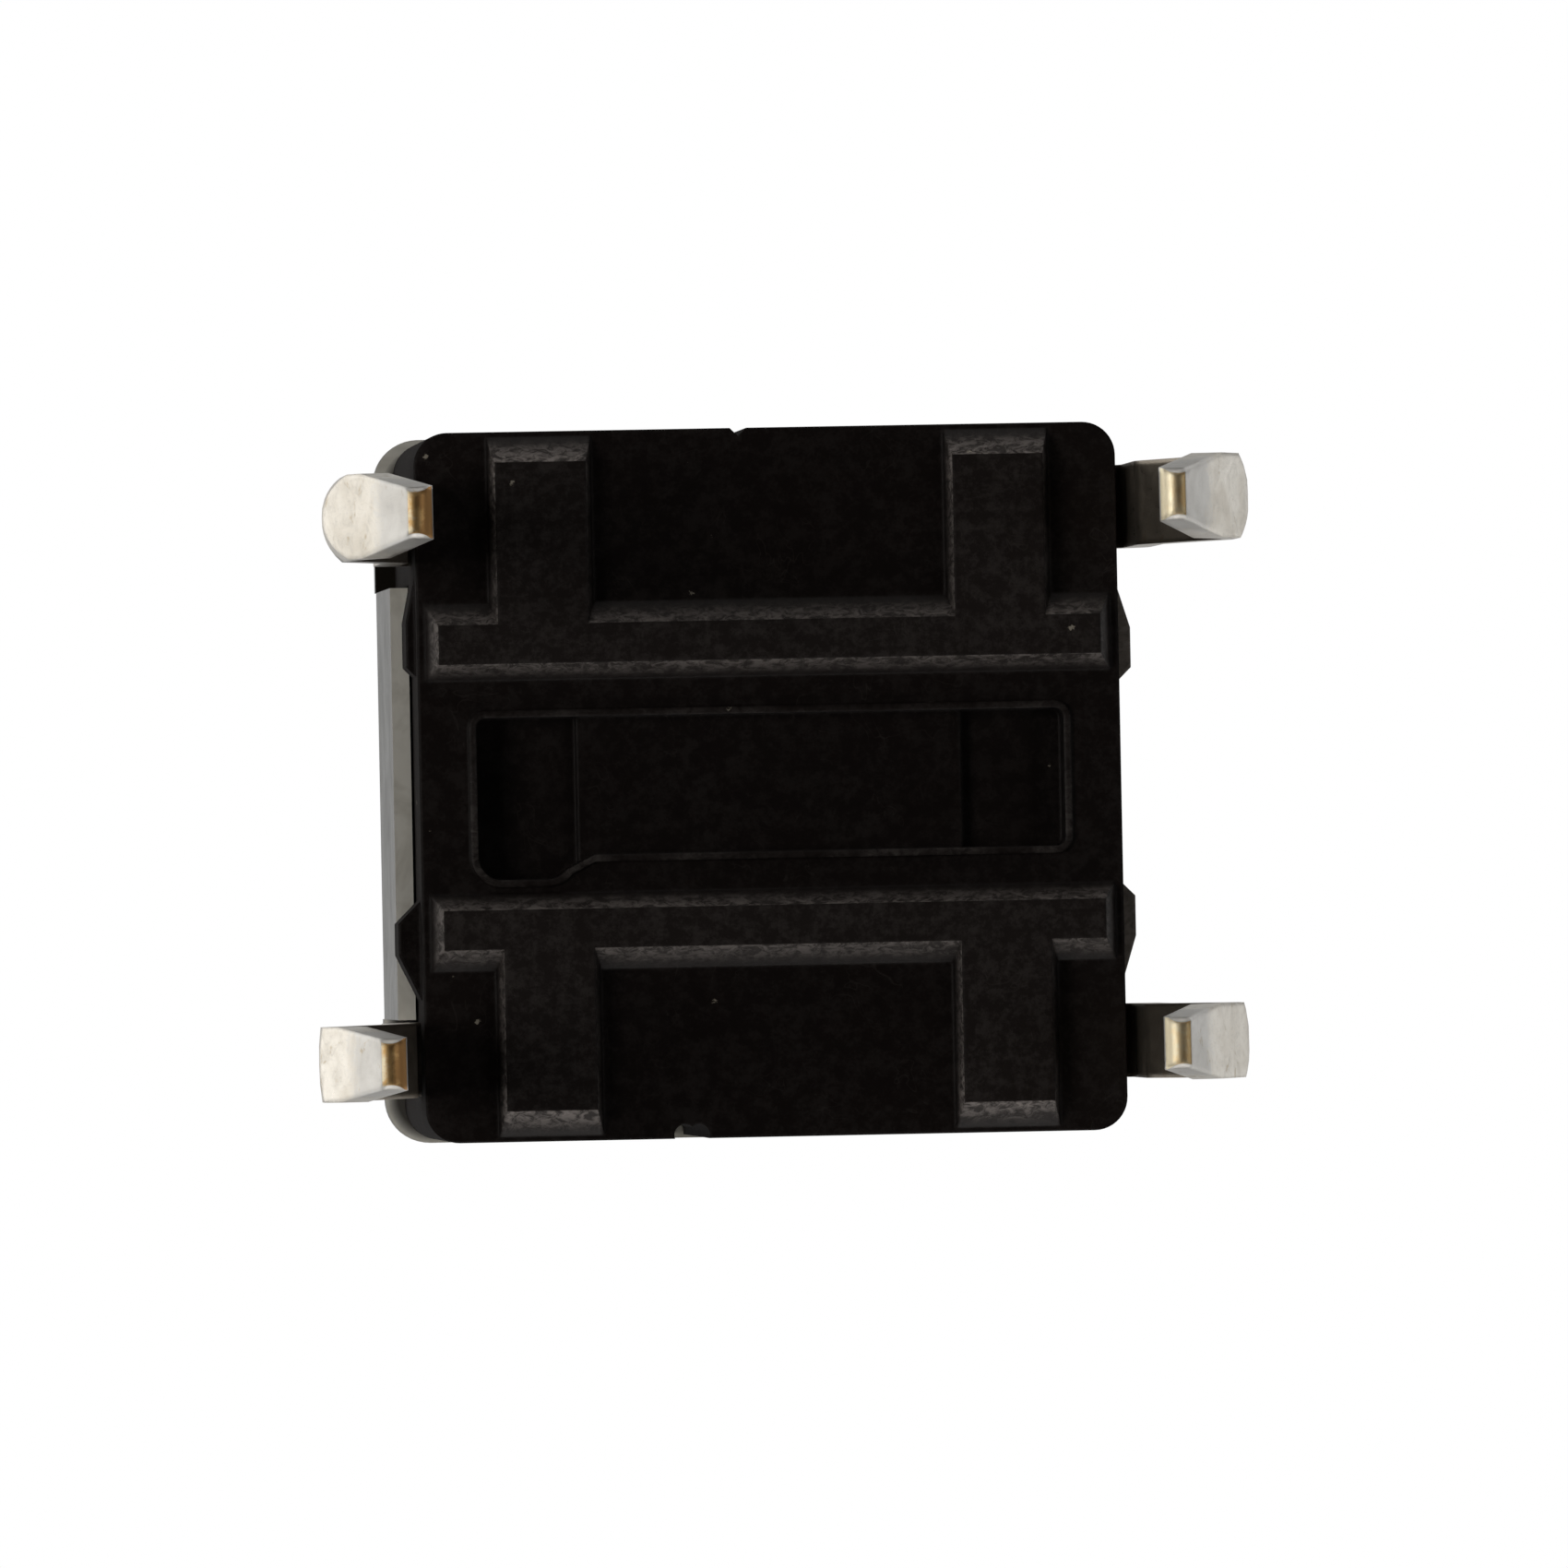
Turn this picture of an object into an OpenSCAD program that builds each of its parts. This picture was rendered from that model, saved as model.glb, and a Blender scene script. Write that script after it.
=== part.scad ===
// Tactile push button switch, 6 mm square, four kinked through-hole leads.
// The frame stands on the seating plane: z = 0 is the lowest face of the moulded base,
// +Z runs up along the button, and the leads reach below z = 0 through the circuit board.

/* [Base] */
// Width of the base between its two lead sides
base_w = 5.9; // [5.6:0.05:8]
// Depth of the base along the lead rows
base_d = 5.95; // [5.6:0.05:8]
// Height of the base from the seating plane to the cover plate
base_h = 3.35; // [3:0.05:4.5]
// Radius of the four upright corners
base_corner_r = 0.28; // [0.1:0.02:0.5]
// Diameter of the round well that holds the dome and the button
well_d = 4.5; // [4.2:0.05:4.9]
// Chamfer at the mouth of the well
well_chamfer = 0.12; // [0.04:0.02:0.2]
// Height of the ledge that carries the rim of the dome
ledge_z = 1.25; // [1.2:0.01:1.4]
// Width of that ledge
ledge_w = 0.5; // [0.3:0.05:0.7]
// Depth of the floor inside the ledge
floor_drop = 0.1; // [0.04:0.02:0.12]
// Depth of the V groove up the -Y wall
vee_deep = 0.07; // [0.04:0.01:0.12]
// Distance of the V groove from the middle, towards -X
vee_x = 0.22; // [0:0.02:1]
// Depth of the double round groove up the +Y wall
groove_deep = 0.12; // [0.06:0.01:0.14]
// Distance of the double groove from the middle, towards -X
groove_x = 0.72; // [0.2:0.02:1]

/* [Underside] */
// How far the rails and stems stand below the recessed underside
relief_h = 0.2; // [0.08:0.01:0.3]
// Distance of each rail's centre line from the middle
rail_y = 1.215; // [1.15:0.005:1.3]
// Width of a rail
rail_w = 0.65; // [0.5:0.01:0.7]
// Width of the sloping flank on the outer side of a rail
rail_slope = 0.18; // [0.05:0.01:0.25]
// Width of the slope at the ends of a rail
rail_end_slope = 0.1; // [0.05:0.01:0.25]
// Width of the flank on the inner side of a rail
rail_flank = 0.14; // [0.03:0.01:0.16]
// Distance from the ends of a rail to the side walls
rail_inset = 0.07; // [0.02:0.01:0.15]
// Width of the slope at the outer end of a stem
stem_end_slope = 0.22; // [0.05:0.01:0.4]
// Distance from the outer end of a stem to the wall there
stem_inset = 0.04; // [0.02:0.01:0.1]
// Width of the flanks of a stem
stem_flank = 0.06; // [0.03:0.01:0.12]
// Distance of each stem's centre line from the middle
stem_x = 1.92; // [1.7:0.01:2.1]
// How far the stems sit off the middle, towards +X
stem_shift = 0.02; // [0:0.005:0.05]
// Width of a stem
stem_w = 0.88; // [0.5:0.02:1]
// Length of the sunk pocket between the rails
pocket_l = 4.94; // [4:0.02:5.1]
// Width of that pocket
pocket_w = 1.16; // [0.8:0.02:1.2]
// Depth of the pocket below the recessed underside
pocket_deep = 0.3; // [0.1:0.02:0.36]
// Length of the raised land in the middle of the pocket
land_l = 3.24; // [2:0.02:3.6]
// Height of that land
land_h = 0.1; // [0.04:0.01:0.2]
// Width of the raised lip round the pocket
lip_w = 0.06; // [0.03:0.01:0.08]
// Height of that lip
lip_h = 0.03; // [0.02:0.01:0.05]
// Radius of the pocket's corners
pocket_corner_r = 0.08; // [0.04:0.01:0.1]
// Length of the swelling at one corner of the pocket
swell_w = 0.78; // [0.6:0.02:0.9]
// How far that swelling stands out from the pocket
swell_out = 0.2; // [0.1:0.01:0.22]

/* [Side lugs] */
// How far a lug stands out from its side wall
lug_out = 0.12; // [0.05:0.01:0.15]
// Height of a lug's lower face
lug_low_z = 0.42; // [0.3:0.02:0.6]
// Height of a lug's upper face
lug_z = 1.02; // [0.7:0.02:1.05]

/* [Posts] */
// Diameter of a post where it passes through the cover
post_d = 0.8; // [0.5:0.05:0.9]
// Diameter of its staked head
post_head_d = 1.05; // [0.96:0.05:1.2]
// Height of its staked head above the cover
post_head_h = 0.24; // [0.1:0.02:0.35]
// Distance of a post from the two walls of its corner
post_inset = 0.72; // [0.66:0.02:0.78]

/* [Cover] */
// Thickness of the cover sheet
cover_t = 0.15; // [0.1:0.01:0.25]
// Outside radius of the cover's corners
cover_corner_r = 0.38; // [0.2:0.02:0.6]
// How far the plate stands out past the base along Y
cover_over = 0.03; // [0:0.01:0.06]
// Inside radius of the bend between plate and flap
cover_bend_r = 0.1; // [0.05:0.01:0.2]
// Width of a side flap
flap_w = 3.64; // [2:0.02:3.7]
// How far the flaps sit off the middle, towards +Y
flap_shift = 0.12; // [0:0.01:0.14]
// Height of a flap's lower edge
flap_z = 1.1; // [1.1:0.05:2.4]
// Depth of the recess in each side wall that takes a flap
flap_sink = 0.11; // [0.04:0.01:0.12]
// How far the cover sits off the middle, towards -X
cover_shift = 0.055; // [0:0.005:0.055]
// Play between the cover and what passes through it or lies against it
cover_play = 0.02; // [0.01:0.01:0.05]

/* [Button] */
// Diameter of the button's stem
stem_d = 3.5; // [2.5:0.05:3.8]
// Height of the button's top
button_top_z = 5; // [4.3:0.1:13]
// Radius of the button's top edge
button_edge_r = 0.14; // [0.05:0.01:0.3]
// Radial play of the stem in the cover's hole
stem_play = 0.06; // [0.03:0.01:0.1]
// Radial play of the flange in the well
flange_play = 0.08; // [0.03:0.01:0.12]
// Thickness of the flange
flange_t = 0.65; // [0.4:0.05:0.9]
// Diameter of the nub that presses the dome
nub_d = 1.2; // [0.8:0.1:1.8]
// Play above the flange and under the nub at rest
rest_play = 0.02; // [0.01:0.01:0.04]
// Stroke of the button
travel = 0.25; // [0.15:0.01:0.28]

/* [Contact dome] */
// Play between the dome's rim and the wall of the well
dome_play = 0.1; // [0.05:0.01:0.15]
// Thickness of the dome
dome_t = 0.08; // [0.05:0.01:0.1]
// Rise of the dome's underside above its rim
dome_rise = 0.34; // [0.32:0.01:0.5]

/* [Terminals] */
// Distance between the two lead rows
row_pitch = 4.5; // [4.4:0.05:4.6]
// Thickness of the terminal strip
lead_t = 0.23; // [0.15:0.01:0.25]
// Width of the leads of the centre terminal
centre_lead_w = 0.7; // [0.5:0.01:0.72]
// Width of the leads of the rim terminal
rim_lead_w = 0.62; // [0.5:0.01:0.72]
// Width of a lead at its tip
tip_w = 0.42; // [0.3:0.01:0.5]
// Length of the narrowing at the tip
taper_l = 0.85; // [0.5:0.05:1.4]
// Height of the rounded nose on a lead's cut end
nose_l = 0.05; // [0.02:0.01:0.08]
// How far the lead rows are turned off square, in degrees
row_turn = 0.4; // [0:0.1:0.6]
// Height of the strip's lower face inside the base
strip_z = 0.8; // [0.7:0.01:0.82]
// Gap between the side wall and a lead's upright
lead_gap = 0.1; // [0.05:0.01:0.2]
// Inside radius of a lead's bends
lead_bend_r = 0.12; // [0.08:0.01:0.2]
// Outside radius of the kink
kink_r = 0.5; // [0.4:0.05:0.8]
// Radius of the kink's crown across the width of the lead
crown_r = 0.6; // [0.5:0.05:2]
// Height below the seating plane where a lead starts to slope out
kink_start = 0.42; // [0.2:0.02:0.8]
// How far the kink stands out from the upright
kink_out = 0.54; // [0.3:0.01:0.7]
// Slope of a lead above its kink, in degrees
kink_slope = 22; // [18:1:30]
// Slope of a lead below its kink, in degrees
toe_slope = 21; // [12:1:24]
// Length of a lead below the seating plane
lead_l = 3.5; // [3:0.1:4]
// Chamfer at the corners of a tip
tip_chamfer = 0.05; // [0.02:0.01:0.1]
// Diameter of a contact point
contact_d = 0.7; // [0.4:0.05:0.8]
// Metal left round a contact point on its tongue
contact_rim = 0.1; // [0.05:0.01:0.15]

/* [Hidden] */
$fn = 96;
eps = 0.01;
// Levels, from the bottom up
strip_top = strip_z + lead_t;
floor_z = ledge_z - floor_drop;
dome_top = ledge_z + dome_rise + dome_t;
nub_z = dome_top + rest_play;
flange_top = base_h - rest_play;
flange_z = flange_top - flange_t;
cover_top = base_h + cover_t;
centre_contact_z = ledge_z + dome_rise - travel;
// Plan sizes
well_r = well_d / 2;
floor_r = well_r - ledge_w;
dome_r = well_r - dome_play;
flange_r = well_r - flange_play;
cover_w = base_w + 2 * (cover_play + cover_t - flap_sink + cover_shift);
flap_wall_x = base_w / 2 - flap_sink;
cover_d = base_d + 2 * cover_over;
post_x = base_w / 2 - post_inset;
post_y = base_d / 2 - post_inset;
row_y = row_pitch / 2;
rim_contact_x = dome_r - contact_d / 2;
bend_mid_r = lead_bend_r + lead_t / 2;
kink_mid_r = kink_r - lead_t / 2;
upright_x = base_w / 2 + lead_gap + lead_t / 2;
tongue_w = contact_d + 2 * contact_rim;
strip_mid_z = strip_z + lead_t / 2;
upright_l = strip_mid_z - bend_mid_r + kink_start;
nose_r = (lead_t * lead_t / 4 + nose_l * nose_l) / (2 * nose_l);
// Spread of the leads: what [reach of the kink, slope of the toe, radius of the crown] adds,
// for the leads on the -X and on the +X side of a row
CENTRE_SPREAD = [[0.015, 2, -0.18], [0.025, 4, 0.05]];
RIM_SPREAD = [[0.14, 0, 1.2], [-0.04, 1, 0.3]];

// Run of a lead from its upright to its kink, for a kink that reaches out by this much
function flare_l(reach) = (reach - (bend_mid_r + kink_mid_r) * (1 - cos(kink_slope))) / sin(kink_slope);
// Depth of the middle of that kink below the seating plane
function kink_depth(reach) =
    kink_start + flare_l(reach) * cos(kink_slope) + (bend_mid_r + kink_mid_r) * sin(kink_slope);
// Run of a lead from its kink to the root of its nose, whose lowest point is the tip
function toe_l(reach, toe) =
    (lead_l - nose_r - kink_depth(reach) - kink_mid_r * sin(toe)) / cos(toe) + nose_r - nose_l;

// Rectangle with rounded corners, centred
module rounded_rect(w, d, r) {
    square([w - 2 * r, d], center = true);
    square([w, d - 2 * r], center = true);
    for (sx = [-1, 1], sy = [-1, 1])
        translate([sx * (w / 2 - r), sy * (d / 2 - r)]) circle(r = r);
}

// Section of a pad: flat at z = 0, sloping up to its root at relief_h, and buried in the base
module pad_section(span, slopes) {
    polygon([
        [span[0], relief_h + eps], [span[0], relief_h], [span[0] + slopes[0], 0],
        [span[1] - slopes[1], 0], [span[1], relief_h], [span[1], relief_h + eps]
    ]);
}

// Pad on the underside, as the part common to its two sections; spans are [low, high]
module pad(x_span, y_span, x_slopes, y_slopes) {
    intersection() {
        translate([0, y_span[1], 0]) rotate([90, 0, 0])
            linear_extrude(y_span[1] - y_span[0]) pad_section(x_span, x_slopes);
        translate([x_span[0], 0, 0]) rotate([90, 0, 90])
            linear_extrude(x_span[1] - x_span[0]) pad_section(y_span, y_slopes);
    }
}

// One rail with its two stems, on the +Y side
module rail_and_stems() {
    rail_x = base_w / 2 - rail_inset;
    pad([-rail_x, rail_x], [rail_y - rail_w / 2, rail_y + rail_w / 2],
        [rail_end_slope, rail_end_slope], [rail_flank, rail_slope]);
    for (x = [stem_shift - stem_x, stem_shift + stem_x])
        pad([x - stem_w / 2, x + stem_w / 2], [rail_y, base_d / 2 - stem_inset],
            [stem_flank, stem_flank], [0, stem_end_slope]);
}

// Outline of the pocket with its one swollen corner, which runs out in a slope
module pocket_outline(grow) {
    swell_y = pocket_w / 2 + swell_out + grow;
    swell_x = swell_w - pocket_l / 2;
    rounded_rect(pocket_l + 2 * grow, pocket_w + 2 * grow, pocket_corner_r + grow);
    translate([(swell_x - pocket_l / 2) / 2, 0]) intersection() {
        rounded_rect(swell_w + 2 * grow, 2 * swell_y, swell_out + grow);
        translate([-swell_w, 0]) square([2 * swell_w, swell_y]);
    }
    polygon([
        [swell_x - swell_out, swell_y - swell_out - grow], [swell_x - swell_out, swell_y],
        [swell_x + swell_out + 2 * grow, swell_y - swell_out - grow]
    ]);
}

// Pocket in the underside, deeper at its two ends than on the land between them
module pocket() {
    translate([0, 0, relief_h - lip_h - eps]) linear_extrude(pocket_deep - land_h + lip_h + eps)
        pocket_outline(0);
    translate([0, 0, relief_h]) linear_extrude(pocket_deep) difference() {
        pocket_outline(0);
        square([land_l, pocket_w + 4 * swell_out], center = true);
    }
}

// Lug at the end of a rail, on the +X, +Y corner, that stands out by reach and starts at inner
module lug(reach, inner) {
    wall = base_w / 2;
    translate([0, 0, lug_low_z]) linear_extrude(lug_z - lug_low_z) polygon([
        [wall - reach, inner], [wall, inner], [wall + reach, inner + reach],
        [wall + reach, inner + 0.7 * rail_w], [wall, inner + 1.3 * rail_w], [wall - reach, inner + 1.3 * rail_w]
    ]);
}

// The four lugs: each starts at its rail's inner edge or a little off it, and their reaches differ
module lugs() {
    rail_inner = rail_y - rail_w / 2;
    lug(lug_out, rail_inner);
    mirror([1, 0, 0]) lug(lug_out + 0.07, rail_inner + 0.05);
    mirror([0, 1, 0]) lug(lug_out, rail_inner - 0.1);
    mirror([0, 1, 0]) mirror([1, 0, 0]) lug(lug_out - 0.04, rail_inner + 0.05);
}

// Post through the cover, with its staked head
module post() {
    head_r = post_head_d / 2;
    cap_r = (head_r * head_r + post_head_h * post_head_h) / (2 * post_head_h);
    translate([0, 0, base_h - eps]) cylinder(d = post_d, h = cover_t + 2 * eps);
    translate([0, 0, cover_top]) intersection() {
        cylinder(r = head_r, h = post_head_h);
        translate([0, 0, post_head_h - cap_r]) sphere(r = cap_r);
    }
}

// Round well with its ledge, its floor and the chamfer at its mouth
module well() {
    translate([0, 0, floor_z]) cylinder(r = floor_r, h = ledge_z - floor_z + eps);
    translate([0, 0, ledge_z]) cylinder(r = well_r, h = base_h - ledge_z + eps);
    translate([0, 0, base_h - well_chamfer])
        cylinder(r1 = well_r, r2 = well_r + well_chamfer, h = well_chamfer);
}

// Grooves up the two end walls: a V on the -Y side and a double round one on the +Y side
module wall_grooves() {
    translate([-vee_x, -base_d / 2, 0]) rotate(45)
        cube([vee_deep * sqrt(2), vee_deep * sqrt(2), 2 * base_h], center = true);
    for (side = [-1, 1]) translate([side * groove_deep / 2 - groove_x, base_d / 2 - groove_deep / 4, 0])
        cylinder(r = 0.75 * groove_deep, h = base_h + eps);
}

// Recess in the +X side wall for a flap, chamfered where the flap bends over the top
module flap_recess() {
    w = flap_w + 2 * cover_play;
    translate([flap_wall_x, flap_shift - w / 2, flap_z - cover_play])
        cube([2 * flap_sink, w, base_h - flap_z + cover_play + eps]);
    translate([flap_wall_x, flap_shift, base_h]) rotate([0, 45, 0])
        cube([cover_bend_r * sqrt(2), w, cover_bend_r * sqrt(2)], center = true);
}

// Base: one moulding with the underside relief, the lugs, the well and the four posts
module base() color("#1d1b1a") {
    difference() {
        union() {
            translate([0, 0, relief_h]) linear_extrude(base_h - relief_h)
                rounded_rect(base_w, base_d, base_corner_r);
            for (side = [0, 1]) mirror([0, side, 0]) rail_and_stems();
            lugs();
            translate([0, 0, relief_h - lip_h]) linear_extrude(lip_h + eps) pocket_outline(lip_w);
        }
        pocket();
        well();
        for (side = [0, 1]) mirror([side, 0, 0]) flap_recess();
        wall_grooves();
        strip_with_leads(-row_y, centre_lead_w, CENTRE_SPREAD);
        strip_with_leads(row_y, rim_lead_w, RIM_SPREAD);
        centre_tongue();
        rim_tongues();
    }
    for (sx = [-1, 1], sy = [-1, 1]) translate([sx * post_x, sy * post_y, 0]) post();
}

// Section of a side flap and its bend, on the +X side
module flap_section() {
    inner_x = cover_w / 2 - cover_t;
    translate([inner_x, flap_z]) square([cover_t, base_h - cover_bend_r - flap_z]);
    translate([inner_x - cover_bend_r, base_h - cover_bend_r]) intersection() {
        difference() {
            circle(r = cover_bend_r + cover_t);
            circle(r = cover_bend_r);
        }
        square(cover_bend_r + cover_t);
    }
}

// Cover: one stamped sheet with the button's hole, the post holes and two flaps bent down
module cover() color("silver") {
    bend_l = cover_bend_r + cover_t;
    difference() {
        translate([0, 0, base_h]) linear_extrude(cover_t) difference() {
            translate([-cover_shift, 0]) rounded_rect(cover_w, cover_d, cover_corner_r);
            circle(r = stem_d / 2 + stem_play);
            for (sx = [-1, 1], sy = [-1, 1])
                translate([sx * post_x, sy * post_y]) circle(r = post_d / 2 + cover_play);
        }
        for (side = [-1, 1])
            translate([side * cover_w / 2 - cover_shift, flap_shift, base_h + cover_t / 2])
                cube([2 * bend_l, flap_w, 2 * cover_t], center = true);
    }
    translate([-cover_shift, flap_shift + flap_w / 2, 0]) for (side = [0, 1]) mirror([side, 0, 0])
        rotate([90, 0, 0]) linear_extrude(flap_w) flap_section();
}

// Button: stem with a rounded top edge, retaining flange and conical nub, turned about Z
module button() color("#222021") {
    stem_r = stem_d / 2;
    rotate_extrude() {
        translate([0, flange_top - eps]) square([stem_r, button_top_z - button_edge_r - flange_top + eps]);
        translate([0, flange_top]) square([stem_r - button_edge_r, button_top_z - flange_top]);
        intersection() {
            translate([stem_r - button_edge_r, button_top_z - button_edge_r]) circle(r = button_edge_r);
            square([stem_r, button_top_z]);
        }
        translate([0, flange_z]) square([flange_r, flange_t]);
        polygon([
            [0, nub_z], [nub_d / 2, nub_z], [nub_d / 2 + (flange_z - nub_z) / 2, flange_z],
            [flange_r / 2, flange_z + eps], [0, flange_z + eps]
        ]);
    }
}

// Contact dome: a shallow spherical shell cut off at its rim
module contact_dome() color("gainsboro") {
    curve_r = (dome_r * dome_r + dome_rise * dome_rise - dome_t * dome_t) / (2 * (dome_rise + dome_t));
    translate([0, 0, ledge_z]) rotate_extrude() intersection() {
        translate([0, dome_rise - curve_r]) difference() {
            circle(r = curve_r + dome_t, $fn = 720);
            circle(r = curve_r, $fn = 720);
        }
        square([dome_r + 1, dome_rise + 1]);
    }
}

// Straight run of sheet along its path, with what follows at its end
module run(l) {
    translate([0, -lead_t / 2]) square([l, lead_t]);
    translate([l, 0]) children();
}

// Bend of sheet: turns the path by a degrees, to the left where a is positive
module bend(a, mid_r) {
    side = sign(a);
    reach = 2 * (mid_r + lead_t);
    translate([0, side * mid_r]) {
        intersection() {
            difference() {
                circle(r = mid_r + lead_t / 2);
                circle(r = mid_r - lead_t / 2);
            }
            polygon([[0, 0], [0, -side * reach], reach * [sin(abs(a)), -side * cos(a)]]);
        }
        rotate(a) translate([0, -side * mid_r]) children();
    }
}

// Rounded nose at the cut end of the sheet
module nose() {
    intersection() {
        translate([nose_l - nose_r, 0]) circle(r = nose_r);
        translate([-eps, -lead_t / 2]) square([nose_l + eps, lead_t]);
    }
}

// Lead on the +X side, seen along the row: out of the wall, down, out to the kink, in to the tip
module lead_section(reach, toe) {
    translate([0, strip_mid_z]) run(upright_x - bend_mid_r) bend(-90, bend_mid_r) run(upright_l)
        bend(kink_slope, bend_mid_r) run(flare_l(reach))
        bend(-kink_slope - toe, kink_mid_r) run(toe_l(reach, toe)) nose();
}

// Width of a lead against its height, narrowing to the tip
module lead_front(w) {
    taper_z = taper_l - lead_l;
    polygon([
        [-w / 2, strip_top + eps], [-w / 2, taper_z], [-tip_w / 2, tip_chamfer - lead_l],
        [tip_chamfer - tip_w / 2, -lead_l - eps], [tip_w / 2 - tip_chamfer, -lead_l - eps],
        [tip_w / 2, tip_chamfer - lead_l], [w / 2, taper_z], [w / 2, strip_top + eps]
    ]);
}

// Limit of a lead in plan: its outermost face is crowned across the width
module lead_plan(kink_face_x, crown) {
    crown_x = kink_face_x - crown;
    translate([0, -crown]) square([crown_x, 2 * crown]);
    translate([crown_x, 0]) circle(r = crown);
}

// Half of a terminal strip with its lead, on the +X side
module lead(w, reach, toe, crown) {
    kink_face_x = upright_x + reach + lead_t / 2;
    intersection() {
        translate([0, w / 2, 0]) rotate([90, 0, 0]) linear_extrude(w) lead_section(reach, toe);
        rotate([90, 0, 90]) linear_extrude(kink_face_x + eps) lead_front(w);
        translate([0, 0, -lead_l - 1]) linear_extrude(lead_l + strip_top + 2)
            lead_plan(kink_face_x, crown);
    }
}

// Strip across the base with a lead of width w at each end
module strip_with_leads(y, w, spread) {
    translate([0, y, 0]) rotate(-row_turn) for (side = [0, 1]) mirror([1 - side, 0, 0])
        lead(w, kink_out + spread[side][0], toe_slope + spread[side][1], crown_r + spread[side][2]);
}

// Tongue with the contact point under the middle of the dome
module centre_tongue() {
    translate([-tongue_w / 2, -row_y, strip_z]) cube([tongue_w, row_y + tongue_w / 2, lead_t]);
    translate([0, 0, strip_top - eps]) cylinder(d = contact_d, h = centre_contact_z - strip_top + eps);
}

// Two tongues with the contact points under the rim of the dome
module rim_tongues() {
    for (side = [-1, 1]) translate([side * rim_contact_x, 0, 0]) {
        translate([-tongue_w / 2, -tongue_w / 2, strip_z]) cube([tongue_w, row_y + tongue_w / 2, lead_t]);
        translate([0, 0, strip_top - eps]) cylinder(d = contact_d, h = ledge_z - strip_top + eps);
    }
}

// Terminal that feeds the middle contact
module centre_terminal() color("#d8d3c8") {
    strip_with_leads(-row_y, centre_lead_w, CENTRE_SPREAD);
    centre_tongue();
}

// Terminal that feeds the dome's rim
module rim_terminal() color("#d8d3c8") {
    strip_with_leads(row_y, rim_lead_w, RIM_SPREAD);
    rim_tongues();
}

base();
cover();
button();
contact_dome();
centre_terminal();
rim_terminal();
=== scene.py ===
"""Looks of the tactile push button switch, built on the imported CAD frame."""
import math

import bmesh
import bpy
from mathutils import Matrix, Vector


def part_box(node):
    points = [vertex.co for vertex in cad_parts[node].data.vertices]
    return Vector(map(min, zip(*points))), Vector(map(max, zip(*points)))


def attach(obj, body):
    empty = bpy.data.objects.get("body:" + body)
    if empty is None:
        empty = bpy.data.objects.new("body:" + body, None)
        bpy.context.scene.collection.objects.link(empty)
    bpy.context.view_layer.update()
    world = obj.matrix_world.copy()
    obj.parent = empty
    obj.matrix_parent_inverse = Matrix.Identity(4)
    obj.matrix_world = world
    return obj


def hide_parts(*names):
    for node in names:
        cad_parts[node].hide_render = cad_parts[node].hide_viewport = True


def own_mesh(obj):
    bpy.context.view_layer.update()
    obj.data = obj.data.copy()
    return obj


MM = 0.001
TO_MM = 1 / MM

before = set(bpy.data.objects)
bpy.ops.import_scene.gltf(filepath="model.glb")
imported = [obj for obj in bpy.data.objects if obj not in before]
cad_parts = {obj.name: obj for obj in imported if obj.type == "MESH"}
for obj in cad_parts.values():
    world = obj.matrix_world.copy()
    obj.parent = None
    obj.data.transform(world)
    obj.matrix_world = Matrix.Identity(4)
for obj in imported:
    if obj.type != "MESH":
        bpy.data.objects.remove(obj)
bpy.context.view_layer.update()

# Levels and sizes of the CAD model
COVER_LOW, COVER_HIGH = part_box("cover")
TIP_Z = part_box("centre_terminal")[0].z
COVER_CORNER_R_MM = 0.38
PLATE_LOW_Z_MM = 3.35
SIDE_WALL_X_MM = 2.95
LIP_Z_MM = 0.17
RAISED_BELOW_Z_MM = 0.16
NOTHING_RAISED_Z_MM = -9.0
DOME_SHEET = 0.08 * MM

# Radii of the edges and how finely they are cut
BASE_EDGE_MM = 0.02
COVER_EDGE_MM = 0.04
LEAD_EDGE_MM = 0.045
LEAD_EDGE_SEGMENTS = 3
LEAD_EDGE_DEGREES = 60
FLAT_DEGREES = 0.5
PLASTIC_SHADED_EDGE_MM = 0.04
LEAD_SHADED_EDGE_MM = 0.07
SHADED_EDGE_SAMPLES = 6
DOME_RINGS, DOME_STEPS = 24, 96

# Camera, from a fit of the photograph's features
CAMERA_DISTANCE = 150 * MM
CAMERA_TILT_SIDE = math.radians(4.38)
CAMERA_TILT_ROW = math.radians(-0.42)
CAMERA_ROLL = math.radians(1.13)
PIXELS_PER_MM = 129.46
FRAME_PIXELS = 1700
SENSOR_MM = 36
OFF_CENTRE_PIXELS = (-12.1, -2.4)

# Stage: sizes and places in metres, powers in watts
FLOOR_HALF = 0.40
FLOOR_GREY = (0.86, 0.86, 0.85, 1)
WHITE = (1, 1, 1)
WARM = (1.0, 0.975, 0.94)
SOFT_WARM = (1.0, 0.98, 0.95)
FAINT_WARM = (1.0, 0.98, 0.96)
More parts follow.
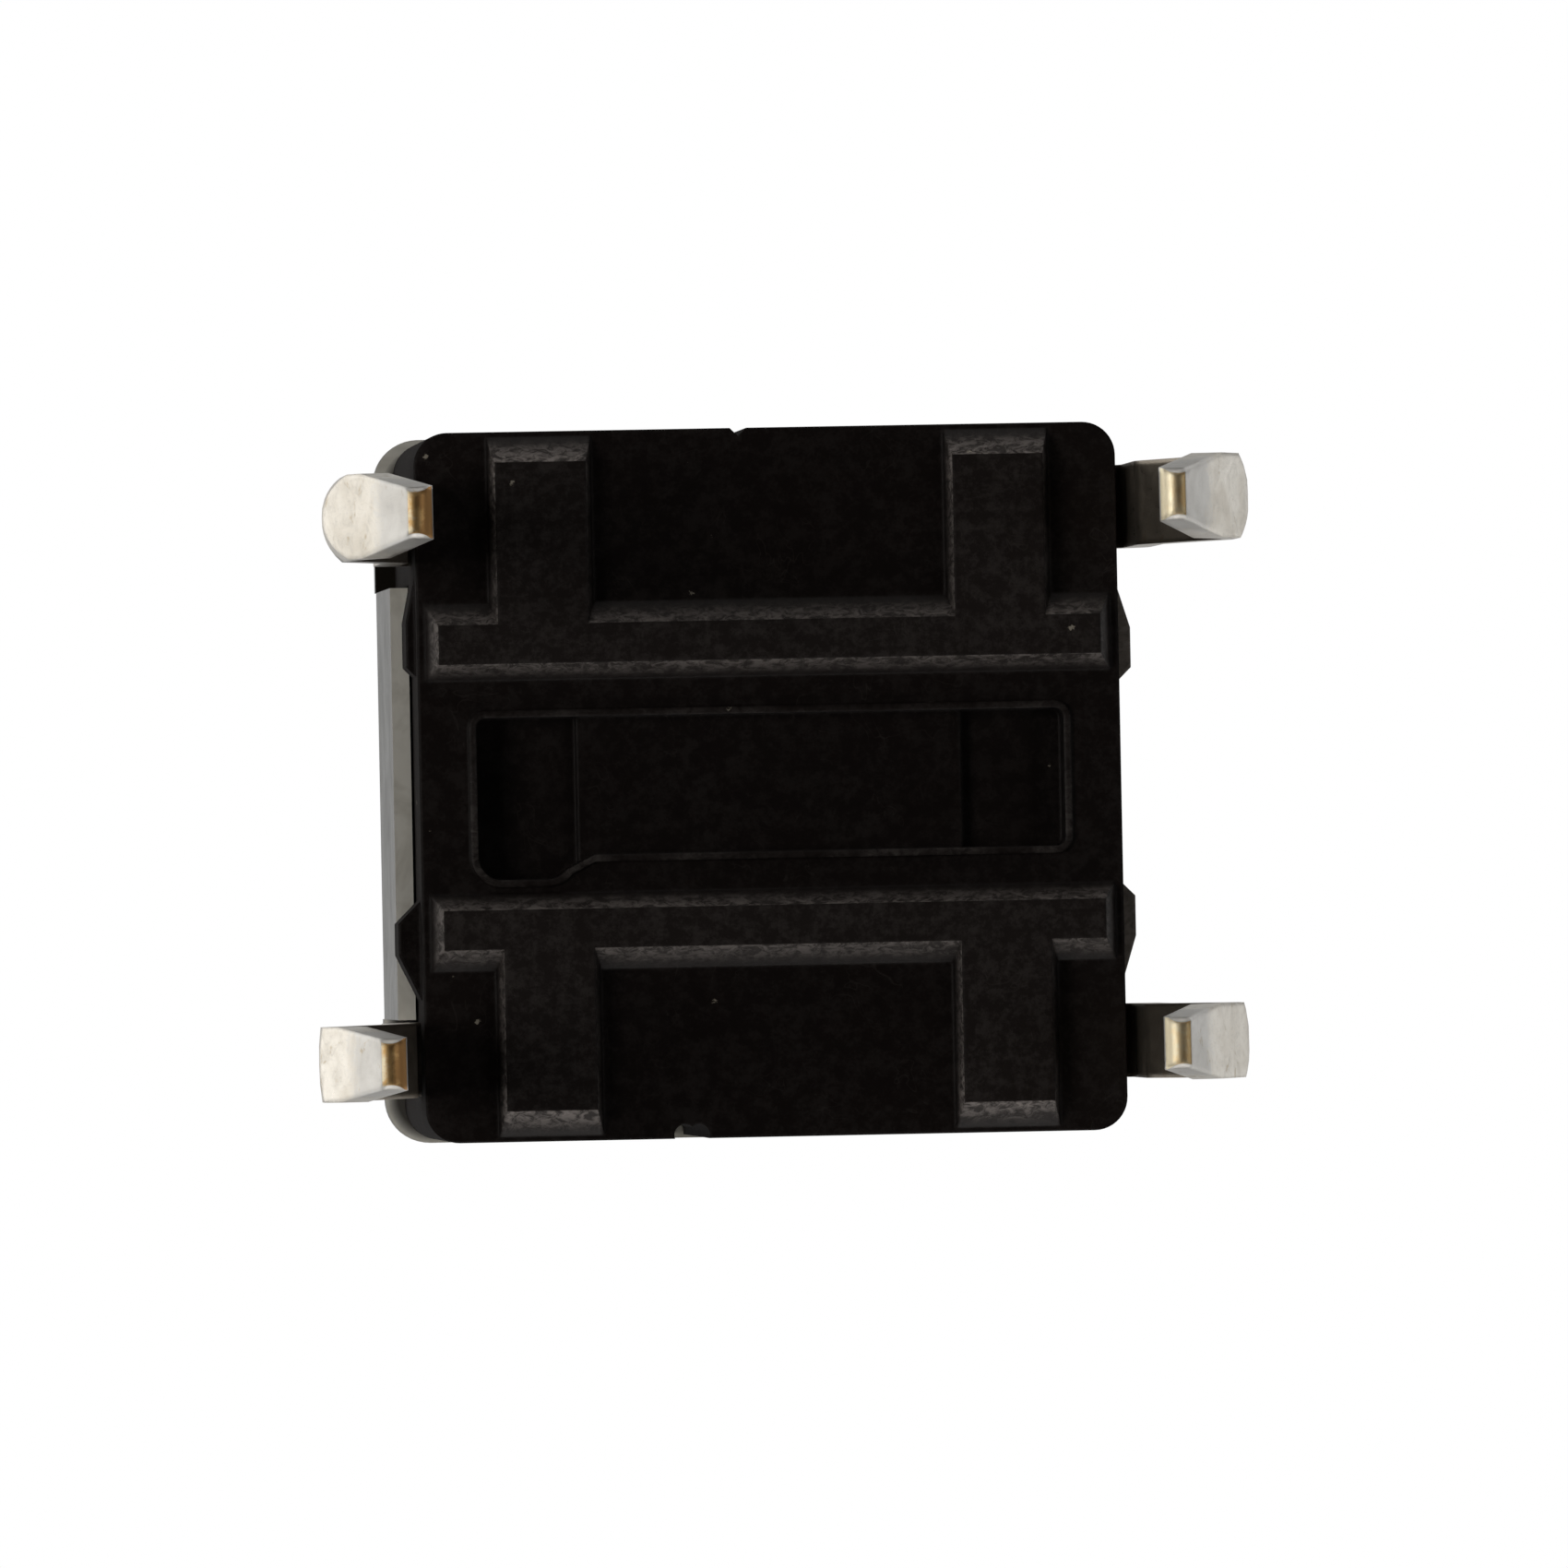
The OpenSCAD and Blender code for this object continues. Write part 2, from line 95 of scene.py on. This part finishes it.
# name, place, size, power, colour
LIGHTS = (
    ("left", (-0.42, -0.05, 0.02), 0.20, 0.20, WARM),
    ("left_high", (-0.36, -0.05, 0.32), 0.34, 0.36, SOFT_WARM),
    ("right", (0.42, 0.05, 0.0), 0.20, 0.06, WHITE),
    ("right_high", (0.36, 0.05, 0.32), 0.30, 0.20, WHITE),
    ("far_side", (0.0, -0.42, -0.06), 0.26, 0.25, FAINT_WARM),
    ("near_side", (0.0, 0.42, -0.06), 0.26, 0.56, FAINT_WARM),
    ("below_left", (-0.30, -0.02, -0.30), 0.16, 0.36, WARM),
    ("below_right", (0.30, 0.02, -0.30), 0.16, 0.10, WHITE),
    ("above", (-0.06, 0.0, 0.50), 0.80, 0.90, WHITE),
    ("corner_a", (0.3, 0.3, 0.18), 0.28, 0.36, WHITE),
    ("corner_b", (-0.3, 0.3, 0.18), 0.28, 0.36, WHITE),
    ("corner_c", (-0.3, -0.3, 0.18), 0.28, 0.36, WHITE),
    ("corner_d", (0.3, -0.3, 0.18), 0.28, 0.36, WHITE),
)

# Colours of the black moulding, linear
BASE_SUNK = (0.0125, 0.0092, 0.0084, 1)
BASE_RAISED = (0.0205, 0.0160, 0.0146, 1)
BUTTON_SUNK = (0.010, 0.0098, 0.0098, 1)
BUTTON_RAISED = (0.0125, 0.012, 0.012, 1)
# painted shade: the side walls of the moulding are painted darker
WALL_SHADE = (0.005, 0.004, 0.004, 1)
MOTTLE_GREY = (0.110, 0.098, 0.092, 1)
BLOTCH_BROWN = (0.010, 0.006, 0.005, 1)
# rubbed wear and painted highlight on the slopes of the rails and stems
SCUFF_AND_SHEEN_GREY = (0.33, 0.295, 0.275, 1)
# wear and painted highlight along the lip round the pocket
LIP_SHEEN_GREY = (0.085, 0.075, 0.070, 1)
LUG_GREY = (0.34, 0.30, 0.265, 1)
HAIRLINE_GREY = (0.11, 0.10, 0.09, 1)
SPECK_CREAM = (0.52, 0.47, 0.38, 1)
PLASTIC_SPECULAR = 0.13

# Colours of the steel sheets
COVER_TINT = (0.62, 0.62, 0.60)
DOME_TINT = (0.72, 0.71, 0.69)
# painted shade on the steel faces turned to -X
LEFT_FACE_SHADE = (0.02, 0.02, 0.02, 1)
# painted light: the steel's lower faces, rough sheared sheet, are painted near white
LOWER_LIGHT_PALE = (1.0, 0.99, 0.95, 1)
LOWER_LIGHT_DULL = (0.82, 0.80, 0.74, 1)
RIM_SHADE = (0.10, 0.09, 0.075, 1)
# painted shade in the nook between a lead, the flap's end and the wall
NOOK_SHADE_BROWN = (0.045, 0.038, 0.030, 1)
SHADED_NOOK_MM = (-3.06, -1.92, PLATE_LOW_Z_MM)

# Colours of the tinned brass
TIN_PALE = (0.84, 0.80, 0.72, 1)
TIN_WARM = (0.72, 0.67, 0.58, 1)
TIN_CLOUD = (0.58, 0.55, 0.49, 1)
TIN_DRAWN = (0.50, 0.47, 0.42, 1)
TIN_GREY = (0.66, 0.66, 0.65, 1)
TIN_MARK = (0.52, 0.42, 0.27, 1)
# painted shade on the lead faces turned to the body
TIN_INNER_SHADE = (0.30, 0.24, 0.17, 1)
# painted shade on the +Y faces of the -X leads
TIN_EDGE_SHADE = (0.10, 0.08, 0.06, 1)
# painted light on the brass ends: lit and shaded copies of one brass
BRASS_LIT_PALE = (1.0, 0.90, 0.66, 1)
GOLD_SHADED_LEFT, GOLD_LIT_RIGHT = (0.86, 0.56, 0.24, 1), (1.0, 0.80, 0.48, 1)
BROWN_SHADED_LEFT, BROWN_LIT_RIGHT = (0.56, 0.31, 0.12, 1), (0.95, 0.68, 0.34, 1)


# Stage

def make_camera():
    """The photograph looks up at the underside: image right is near +X and image down near +Y."""
    ca, sa = math.cos(CAMERA_TILT_SIDE), math.sin(CAMERA_TILT_SIDE)
    cb, sb = math.cos(CAMERA_TILT_ROW), math.sin(CAMERA_TILT_ROW)
    cr, sr = math.cos(CAMERA_ROLL), math.sin(CAMERA_ROLL)
    right = Vector((ca, 0, -sa))
    down = Vector((-sb * sa, cb, -sb * ca))
    ahead = Vector((cb * sa, sb, cb * ca))
    right, down = cr * right + sr * down, cr * down - sr * right
    data = bpy.data.cameras.new("camera")
    data.sensor_width = SENSOR_MM
    data.lens = SENSOR_MM * PIXELS_PER_MM * CAMERA_DISTANCE * TO_MM / FRAME_PIXELS
    data.clip_start = 0.2 * CAMERA_DISTANCE
    data.clip_end = 20 * CAMERA_DISTANCE
    camera = bpy.data.objects.new("camera", data)
    bpy.context.collection.objects.link(camera)
    off_right, off_down = (MM * pixels / PIXELS_PER_MM for pixels in OFF_CENTRE_PIXELS)
    place = -CAMERA_DISTANCE * ahead - off_right * right - off_down * down
    turn = Matrix((right, -down, -ahead)).transposed().to_4x4()
    camera.matrix_world = Matrix.Translation(place) @ turn
    bpy.context.scene.camera = camera


def make_world():
    """White behind everything for the camera, and no light of its own on the object."""
    world = bpy.data.worlds.new("white")
    world.use_nodes = True
    background = world.node_tree.nodes["Background"]
    background.inputs["Color"].default_value = (1, 1, 1, 1)
    background.inputs["Strength"].default_value = 1.0
    world.cycles_visibility.diffuse = False
    world.cycles_visibility.glossy = False
    world.cycles_visibility.transmission = False
    world.cycles_visibility.scatter = False
    bpy.context.scene.world = world
    bpy.context.scene.view_settings.view_transform = "Standard"


def one_sided(name, colour):
    """Matt material on a face's front, and clear from behind."""
    material = bpy.data.materials.new(name)
    material.use_nodes = True
    nodes, links = material.node_tree.nodes, material.node_tree.links
    nodes.clear()
    output = nodes.new("ShaderNodeOutputMaterial")
    mix = nodes.new("ShaderNodeMixShader")
    side = nodes.new("ShaderNodeNewGeometry")
    matt = nodes.new("ShaderNodeBsdfDiffuse")
    matt.inputs["Color"].default_value = colour
    clear = nodes.new("ShaderNodeBsdfTransparent")
    links.new(side.outputs["Backfacing"], mix.inputs["Fac"])
    links.new(matt.outputs["BSDF"], mix.inputs[1])
    links.new(clear.outputs["BSDF"], mix.inputs[2])
    links.new(mix.outputs["Shader"], output.inputs["Surface"])
    return material


def make_floor():
    """Pale floor under the lead tips. It has one face, so the camera of the photograph sees through it."""
    half = FLOOR_HALF
    corners = [(-half, -half, TIP_Z), (half, -half, TIP_Z), (half, half, TIP_Z), (-half, half, TIP_Z)]
    mesh = bpy.data.meshes.new("floor")
    mesh.from_pydata(corners, [], [(0, 1, 2, 3)])
    mesh.materials.append(one_sided("pale_floor", FLOOR_GREY))
    floor = bpy.data.objects.new("floor", mesh)
    bpy.context.collection.objects.link(floor)
    floor.visible_shadow = False
    floor.visible_diffuse = False
    floor.visible_glossy = False


def soft_light(name, place, size, power, colour):
    """Square area light turned to the part, which the camera doesn't see."""
    data = bpy.data.lights.new(name, "AREA")
    data.shape = "SQUARE"
    data.size = size
    data.energy = power
    data.color = colour
    light = bpy.data.objects.new(name, data)
    bpy.context.collection.objects.link(light)
    light.location = place
    light.rotation_mode = "QUATERNION"
    light.rotation_quaternion = (-Vector(place)).to_track_quat("-Z", "Y")
    light.visible_camera = False


def make_lights():
    """Softboxes near the horizon on all sides, so that slopes shine and faces seen square stay dark."""
    for row in LIGHTS:
        soft_light(*row)


# Materials

class Shader:
    """A material's node tree, with short calls for the nodes that the finishes share."""

    def __init__(self, name):
        self.material = bpy.data.materials.new(name)
        self.material.use_nodes = True
        self.nodes = self.material.node_tree.nodes
        self.links = self.material.node_tree.links
        self.bsdf = self.nodes["Principled BSDF"]
        place = self.nodes.new("ShaderNodeTexCoord")
        scale = self.nodes.new("ShaderNodeVectorMath")
        scale.operation = "SCALE"
        scale.inputs["Scale"].default_value = TO_MM
        self.links.new(place.outputs["Object"], scale.inputs["Vector"])
        self.place_mm = scale.outputs["Vector"]

    def put(self, target, value):
        """Links a socket to target, or sets target to a number or colour."""
        if isinstance(value, bpy.types.NodeSocket):
            self.links.new(value, target)
        else:
            target.default_value = value

    def math(self, operation, first, second=0.0):
        node = self.nodes.new("ShaderNodeMath")
        node.operation = operation
        self.put(node.inputs[0], first)
        self.put(node.inputs[1], second)
        return node.outputs[0]

    def times(self, first, *others):
        for other in others:
            first = self.math("MULTIPLY", first, other)
        return first

    def size(self, value):
        return self.math("ABSOLUTE", value)

    def axis(self, letter, vector=None):
        """One part of a vector, or of the place on the object in mm."""
        node = self.nodes.new("ShaderNodeSeparateXYZ")
        self.put(node.inputs[0], vector or self.place_mm)
        return node.outputs[letter.upper()]

    def stretched(self, factors):
        node = self.nodes.new("ShaderNodeVectorMath")
        node.operation = "MULTIPLY"
        self.put(node.inputs[0], self.place_mm)
        node.inputs[1].default_value = factors
        return node.outputs["Vector"]

    def distance(self, point_mm):
        node = self.nodes.new("ShaderNodeVectorMath")
        node.operation = "DISTANCE"
        self.put(node.inputs[0], self.place_mm)
        node.inputs[1].default_value = point_mm
        return node.outputs["Value"]

    def noise(self, per_mm, detail=3.0, rough=0.5, vector=None, warp=0.0):
        node = self.nodes.new("ShaderNodeTexNoise")
        node.inputs["Scale"].default_value = per_mm
        node.inputs["Detail"].default_value = detail
        node.inputs["Roughness"].default_value = rough
        node.inputs["Distortion"].default_value = warp
        self.put(node.inputs["Vector"], vector or self.place_mm)
        return node.outputs["Fac"]

    def cells(self, per_mm):
        """Distance to the nearest of scattered points."""
        node = self.nodes.new("ShaderNodeTexVoronoi")
        node.inputs["Scale"].default_value = per_mm
        self.put(node.inputs["Vector"], self.place_mm)
        return node.outputs["Distance"]

    def span(self, value, low, high, to_low=0.0, to_high=1.0):
        """value between low and high, mapped to the other span and held at its ends."""
        node = self.nodes.new("ShaderNodeMapRange")
        self.put(node.inputs["Value"], value)
        for key, number in (("From Min", low), ("From Max", high), ("To Min", to_low), ("To Max", to_high)):
            node.inputs[key].default_value = number
        return node.outputs["Result"]

    def mix(self, share, first, second):
        """Colour from first, at a share of 0, to second, at a share of 1."""
        node = self.nodes.new("ShaderNodeMix")
        node.data_type = "RGBA"
        self.put(node.inputs["Factor"], share)
        self.put(node.inputs["A"], first)
        self.put(node.inputs["B"], second)
        return node.outputs["Result"]

    def facing(self, letter):
        """How far the face turns to an axis, from -1 to 1."""
        node = self.nodes.new("ShaderNodeNewGeometry")
        return self.axis(letter, node.outputs["True Normal"])

    def bump(self, height, depth_mm, strength=1.0, under=None):
        node = self.nodes.new("ShaderNodeBump")
        node.inputs["Strength"].default_value = strength
        node.inputs["Distance"].default_value = depth_mm * MM
        self.put(node.inputs["Height"], height)
        if under is not None:
            self.put(node.inputs["Normal"], under)
        return node.outputs["Normal"]

    def soft_edges(self, radius_mm):
        """Normal that rounds the edges in the shading alone."""
        node = self.nodes.new("ShaderNodeBevel")
        node.samples = SHADED_EDGE_SAMPLES
        node.inputs["Radius"].default_value = radius_mm * MM
        return node.outputs["Normal"]

    def finish(self, colour, roughness, normal, **constants):
        self.put(self.bsdf.inputs["Base Color"], colour)
        self.put(self.bsdf.inputs["Roughness"], roughness)
        self.put(self.bsdf.inputs["Normal"], normal)
        for key, value in constants.items():
            self.bsdf.inputs[key.replace("_", " ")].default_value = value
        return self.material


def scuffed_slope_highlights(s, height, down, lifted, rubs):
    """Share of rubbed plastic and painted highlight on the slopes of the rails and stems, strongest near
    the seating plane and weaker where they turn to +X.
    """
    slope = s.span(down, -0.97, -0.85)
    worn = s.times(slope, s.span(height, 0.15, 0.01, 0.15, 1.0), lifted)
    outer = s.span(s.size(s.axis("y")), 2.3, 2.6, 0.55, 1.0)
    # painted highlight: slopes turned to +X, away from the light, get less of it
    not_right = s.span(s.facing("x"), 0.2, 0.5, 1.0, 0.3)
    return s.times(worn, s.span(rubs, 0.42, 0.60, 0.10, 1.0), outer, not_right)


def worn_lip_highlight(s, height, down, blotch, rubs):
    """Broken pale line along the lip round the pocket, wear and painted highlight, fainter on its -Y side.
    """
    above = s.span(height, LIP_Z_MM - 0.015, LIP_Z_MM - 0.005)
    below = s.span(height, LIP_Z_MM + 0.020, LIP_Z_MM + 0.010)
    level = s.span(down, -0.95, -0.99)
    broken = s.span(blotch, 0.58, 0.44, 0.05, 1.0)
    fainter = s.span(s.axis("y"), -0.5, 0.4, 0.5, 1.0)
    return s.times(above, below, level, broken, fainter, s.span(rubs, 0.38, 0.62, 0.10, 0.8))


def worn_lugs(s, down, rubs):
    """Rubbed lower faces of the lugs on the +X wall."""
    outside = s.span(s.axis("x"), SIDE_WALL_X_MM + 0.005, SIDE_WALL_X_MM + 0.015)
    return s.times(outside, s.span(down, -0.2, -0.5), s.span(rubs, 0.35, 0.62, 0.5, 0.9))


def hairlines(s, down):
    """Short faint scratches on the faces that look down."""
    curl = s.size(s.math("SUBTRACT", s.noise(2.4, 2.0, 0.5, warp=1.2), 0.5))
    here_and_there = s.span(s.noise(1.9, 1.0), 0.52, 0.62)
    return s.times(s.span(curl, 0.008, 0.002), here_and_there, s.span(down, -0.5, -0.8, 0.0, 0.12))


def specks(s, grain):
    """Small scattered spots of dust with ragged edges."""
    ragged = s.math("ADD", s.cells(1.7), s.span(grain, 0.3, 0.7, -0.03, 0.04))
    return s.times(s.span(ragged, 0.045, 0.025), 0.70)


def moulded_plastic(name, sunk, raised, raised_below_z_mm):
    """Black moulding: matt and mottled, scuffed below raised_below_z_mm and darker elsewhere, with painted
    shade on its side walls and painted highlights on its slopes and lip.
    """
    s = Shader(name)
    height, down = s.axis("z"), s.facing("z")
    lifted = s.span(height, raised_below_z_mm + 0.02, raised_below_z_mm - 0.04)
    wall = s.span(s.size(down), 0.4, 0.2)
    grain = s.noise(30.0, 3.0, 0.7)
    blotch = s.noise(1.6, 4.0, 0.6)
    mottle = s.noise(6.5, 6.0, 0.8)
    rubs = s.noise(9.0, 4.0, 0.75, s.stretched((1.0, 1.6, 1.6)), 0.8)
    colour = s.mix(lifted, sunk, raised)
    # painted shade: faces that stand upright are painted darker
    colour = s.mix(wall, colour, s.mix(0.8, colour, WALL_SHADE))
    pale = s.times(s.span(mottle, 0.46, 0.60), s.span(lifted, 0.0, 1.0, 0.30, 0.80))
    colour = s.mix(pale, colour, s.mix(0.35, colour, MOTTLE_GREY))
    colour = s.mix(s.span(blotch, 0.42, 0.68, 0.0, 0.6), colour, s.mix(0.5, colour, BLOTCH_BROWN))
    colour = s.mix(scuffed_slope_highlights(s, height, down, lifted, rubs), colour, SCUFF_AND_SHEEN_GREY)
    colour = s.mix(worn_lip_highlight(s, height, down, blotch, rubs), colour, LIP_SHEEN_GREY)
    colour = s.mix(worn_lugs(s, down, rubs), colour, LUG_GREY)
    colour = s.mix(hairlines(s, down), colour, HAIRLINE_GREY)
    colour = s.mix(specks(s, grain), colour, SPECK_CREAM)
    matt = s.math("MAXIMUM", s.span(lifted, 0.0, 1.0, 0.40, 0.52), s.span(wall, 0.0, 1.0, 0.0, 0.96))
    roughness = s.math("ADD", matt, s.span(mottle, 0.3, 0.7, -0.05, 0.06))
    normal = s.bump(mottle, 0.006, 0.6, s.soft_edges(PLASTIC_SHADED_EDGE_MM))
    normal = s.bump(grain, 0.003, 0.5, normal)
    return s.finish(colour, roughness, normal, Specular_IOR_Level=PLASTIC_SPECULAR)


def cover_rim(s):
    """Distance in mm from the centres of the plate's rounded corners: the corner radius at the rim."""
    middle, half = 0.5 * TO_MM * (COVER_LOW + COVER_HIGH), 0.5 * TO_MM * (COVER_HIGH - COVER_LOW)
    sides = []
    for letter, centre, reach in (("x", middle.x, half.x), ("y", middle.y, half.y)):
        off = s.size(s.math("SUBTRACT", s.axis(letter), centre))
        off = s.math("MAXIMUM", s.math("SUBTRACT", off, reach - COVER_CORNER_R_MM), 0.0)
        sides.append(s.math("POWER", off, 2.0))
    return s.math("SQRT", s.math("ADD", *sides))


def shaded_underside(s, colour, lower, nook_mm):
    """The plate's underside, with painted shade inside its corners and at nook_mm."""
    under = s.times(lower, s.span(s.axis("z"), PLATE_LOW_Z_MM - 0.35, PLATE_LOW_Z_MM - 0.15))
    rim = s.math("ADD", cover_rim(s), s.span(s.axis("y"), -2.2, -2.7, 0.0, 0.06))
    corner = s.span(s.size(s.axis("x")), 2.0, 2.3)
    shade = s.times(corner, s.span(rim, 0.36, 0.27, 0.0, 0.85))
    colour = s.mix(s.times(under, shade), colour, RIM_SHADE)
    # painted shade, darkest at nook_mm
    away = s.math("ADD", s.distance(nook_mm), s.span(s.noise(6.0, 4.0, 0.7), 0.3, 0.7, -0.10, 0.10))
    return s.mix(s.times(under, s.span(away, 0.42, 0.24)), colour, NOOK_SHADE_BROWN)


def rolled_steel(name, tint, nook_mm=None):
    """Rolled sheet: streaks along Y, dull patches, rough lower faces painted pale as painted light, faces
    turned to -X painted darker as painted shade, and painted shade at nook_mm.
    """
    s = Shader(name)
    plain, darker, darkest = (tuple(share * c for c in tint) + (1,) for share in (1.0, 0.72, 0.5))
    streaks = s.noise(9.0, 4.0, 0.6, s.stretched((6.0, 0.5, 6.0)))
    patches = s.noise(1.3, 4.0, 0.6, warp=0.6)
    lower = s.span(s.facing("z"), -0.3, -0.6)
    colour = s.mix(s.span(patches, 0.35, 0.7), plain, darker)
    colour = s.mix(s.span(streaks, 0.45, 0.75, 0.0, 0.35), colour, darkest)
    # painted shade: faces turned to -X are painted darker
    colour = s.mix(s.span(s.facing("x"), -0.3, -0.7, 0.0, 0.67), colour, LEFT_FACE_SHADE)
    # painted light: faces that look down are painted pale
    colour = s.mix(lower, colour, s.mix(s.span(patches, 0.4, 0.65), LOWER_LIGHT_PALE, LOWER_LIGHT_DULL))
    if nook_mm:
        colour = shaded_underside(s, colour, lower, nook_mm)
    roughness = s.math("ADD", s.span(patches, 0.3, 0.7, 0.30, 0.44), s.span(streaks, 0.3, 0.7, -0.05, 0.07))
    roughness = s.math("MAXIMUM", roughness, s.span(lower, 0.0, 1.0, 0.0, 0.95))
    return s.finish(colour, roughness, s.bump(streaks, 0.002, 0.7), Metallic=1.0)


def brass_end(s):
    """Colour of the sheared brass, with painted light: pale where it turns to -X, brown to +X, and the +X
    leads painted lighter.
    """
    # painted light: faces turned to -X, toward the light, are paler
    turned_from_light = s.math("ADD", s.facing("x"), s.span(s.noise(9.0, 3.0, 0.6), 0.35, 0.65, -0.25, 0.25))
    right = s.span(s.axis("x"), -0.1, 0.1)
    gold = s.mix(right, GOLD_SHADED_LEFT, GOLD_LIT_RIGHT)
    brown = s.mix(right, BROWN_SHADED_LEFT, BROWN_LIT_RIGHT)
    brass = s.mix(s.span(turned_from_light, -0.45, -0.10), BRASS_LIT_PALE, gold)
    return s.mix(s.span(turned_from_light, 0.05, 0.35), brass, brown)


def tinned_lead(name):
    """Dull tin plating, creamy and stained, greyer near the sheared tips, which are bare brass, with
    painted shade on the faces turned to the body and on the +Y faces of the -X leads.
    """
    s = Shader(name)
    above_tip = s.math("SUBTRACT", s.axis("z"), TIP_Z * TO_MM)
    stains = s.noise(2.2, 5.0, 0.65, warp=0.8)
    clouds = s.noise(5.5, 5.0, 0.7, warp=1.0)
    fine = s.noise(22.0, 3.0, 0.6)
    draw = s.noise(7.0, 3.0, 0.6, s.stretched((5.0, 5.0, 0.6)))
    colour = s.mix(s.span(stains, 0.38, 0.68), TIN_PALE, TIN_WARM)
    colour = s.mix(s.span(clouds, 0.50, 0.68, 0.0, 0.5), colour, TIN_CLOUD)
    colour = s.mix(s.span(draw, 0.55, 0.75, 0.0, 0.3), colour, TIN_DRAWN)
    greyed = s.span(s.math("ADD", above_tip, s.span(clouds, 0.3, 0.7, -0.14, 0.14)), 0.62, 0.44)
    colour = s.mix(s.times(greyed, 0.6), colour, TIN_GREY)
    marks = s.span(s.noise(5.5, 3.0, 0.7, warp=0.5), 0.63, 0.70)
    colour = s.mix(s.times(marks, 0.6), colour, TIN_MARK)
    outwards = s.times(s.facing("x"), s.math("SIGN", s.axis("x")))
    inner = s.times(s.span(outwards, -0.3, -0.5), s.span(above_tip, 0.20, 0.35))
    # painted shade: faces turned to the body, above the tip
    colour = s.mix(s.times(inner, 0.7), colour, TIN_INNER_SHADE)
    left = s.span(s.axis("x"), 0.1, -0.1)
    edge = s.times(left, s.span(s.facing("y"), 0.5, 0.8), s.span(above_tip, 1.7, 2.0))
    # painted shade on the upright +Y faces of the -X leads
    colour = s.mix(s.times(edge, 0.9), colour, TIN_EDGE_SHADE)
    nose = s.times(s.span(s.facing("z"), -0.45, -0.50), s.span(above_tip, 0.16, 0.12))
    cut = s.times(nose, s.span(s.size(s.facing("y")), 0.5, 0.3))
    colour = s.mix(cut, colour, brass_end(s))
    roughness = s.math("ADD", s.span(stains, 0.3, 0.7, 0.26, 0.34), s.span(clouds, 0.3, 0.7, -0.02, 0.08))
    roughness = s.math("ADD", roughness, s.times(greyed, 0.12))
    roughness = s.math("MAXIMUM", roughness, s.span(cut, 0.0, 1.0, 0.0, 0.40))
    normal = s.bump(fine, 0.0008, 0.25, s.soft_edges(LEAD_SHADED_EDGE_MM))
    return s.finish(colour, roughness, s.bump(draw, 0.002, 0.5, normal), Metallic=1.0)


# Pieces

def dress(node, material):
    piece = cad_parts[node]
    for slot in piece.material_slots:
        slot.material = material
    return piece


def round_edges(piece, width_mm, segments=2, sharper_than=28):
    """Small real radius on a CAD node's edges, after its flat faces are joined up."""
    flat = piece.modifiers.new("flat_faces", "DECIMATE")
    flat.decimate_type = "DISSOLVE"
    flat.angle_limit = math.radians(FLAT_DEGREES)
    bevel = piece.modifiers.new("edge_radius", "BEVEL")
    bevel.width = width_mm * MM
    bevel.segments = segments
    bevel.use_clamp_overlap = False
    bevel.limit_method = "ANGLE"
    bevel.angle_limit = math.radians(sharper_than)
    bevel.harden_normals = True


def dress_frame():
    base = moulded_plastic("base_plastic", BASE_SUNK, BASE_RAISED, RAISED_BELOW_Z_MM)
    button = moulded_plastic("button_plastic", BUTTON_SUNK, BUTTON_RAISED, NOTHING_RAISED_Z_MM)
    round_edges(dress("base", base), BASE_EDGE_MM)
    round_edges(dress("cover", rolled_steel("cover_steel", COVER_TINT, SHADED_NOOK_MM)), COVER_EDGE_MM)
    dress("button", button)
    dress("contact_dome", rolled_steel("dome_steel", DOME_TINT))
    tin = tinned_lead("tinned_brass")
    for node in ("centre_terminal", "rim_terminal"):
        round_edges(dress(node, tin), LEAD_EDGE_MM, LEAD_EDGE_SEGMENTS, LEAD_EDGE_DEGREES)


def dome_layer(shell, top_z, ball, rim_radius):
    """Rings of vertices on one side of the dome, from its middle out to its rim."""
    layer = [[shell.verts.new((0, 0, top_z))]]
    for ring in range(1, DOME_RINGS + 1):
        radius = rim_radius * ring / DOME_RINGS
        z = top_z - ball + math.sqrt(ball ** 2 - radius ** 2)
        turn = (2 * math.pi * step / DOME_STEPS for step in range(DOME_STEPS))
        layer.append([shell.verts.new((radius * math.cos(a), radius * math.sin(a), z)) for a in turn])
    return layer


def dome_mesh(rim_radius, top_z, rise):
    """Turned shell of one sheet, cut off square at its rim."""
    ball = (rim_radius ** 2 + rise ** 2) / (2 * rise)
    shell = bmesh.new()
    upper = dome_layer(shell, top_z, ball, rim_radius)
    lower = dome_layer(shell, top_z - DOME_SHEET, ball, rim_radius)
    for layer, flip in ((upper, False), (lower, True)):
        for inner, outer in zip(layer, layer[1:]):
            for step in range(DOME_STEPS):
                after = (step + 1) % DOME_STEPS
                face = [outer[step], outer[after]]
                face += [inner[0]] if len(inner) == 1 else [inner[after], inner[step]]
                shell.faces.new(reversed(face) if flip else face)
    for step in range(DOME_STEPS):
        after = (step + 1) % DOME_STEPS
        shell.faces.new((upper[-1][after], upper[-1][step], lower[-1][step], lower[-1][after]))
    mesh = bpy.data.meshes.new("dome_shell")
    bmesh.ops.recalc_face_normals(shell, faces=shell.faces)
    shell.to_mesh(mesh)
    shell.free()
    for face in mesh.polygons:
        face.use_smooth = True
    return mesh


def make_dome():
    """The snap disc as a turned shell: its rim lies on the ledge."""
    low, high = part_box("contact_dome")
    mesh = dome_mesh(0.5 * (high.x - low.x), high.z, high.z - low.z - DOME_SHEET)
    mesh.materials.append(bpy.data.materials["dome_steel"])
    dome = bpy.data.objects.new("dome_shell", mesh)
    bpy.context.collection.objects.link(dome)
    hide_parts("contact_dome")
    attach(dome, "housing")
    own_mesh(dome)


make_camera()
make_world()
make_floor()
make_lights()
dress_frame()
make_dome()
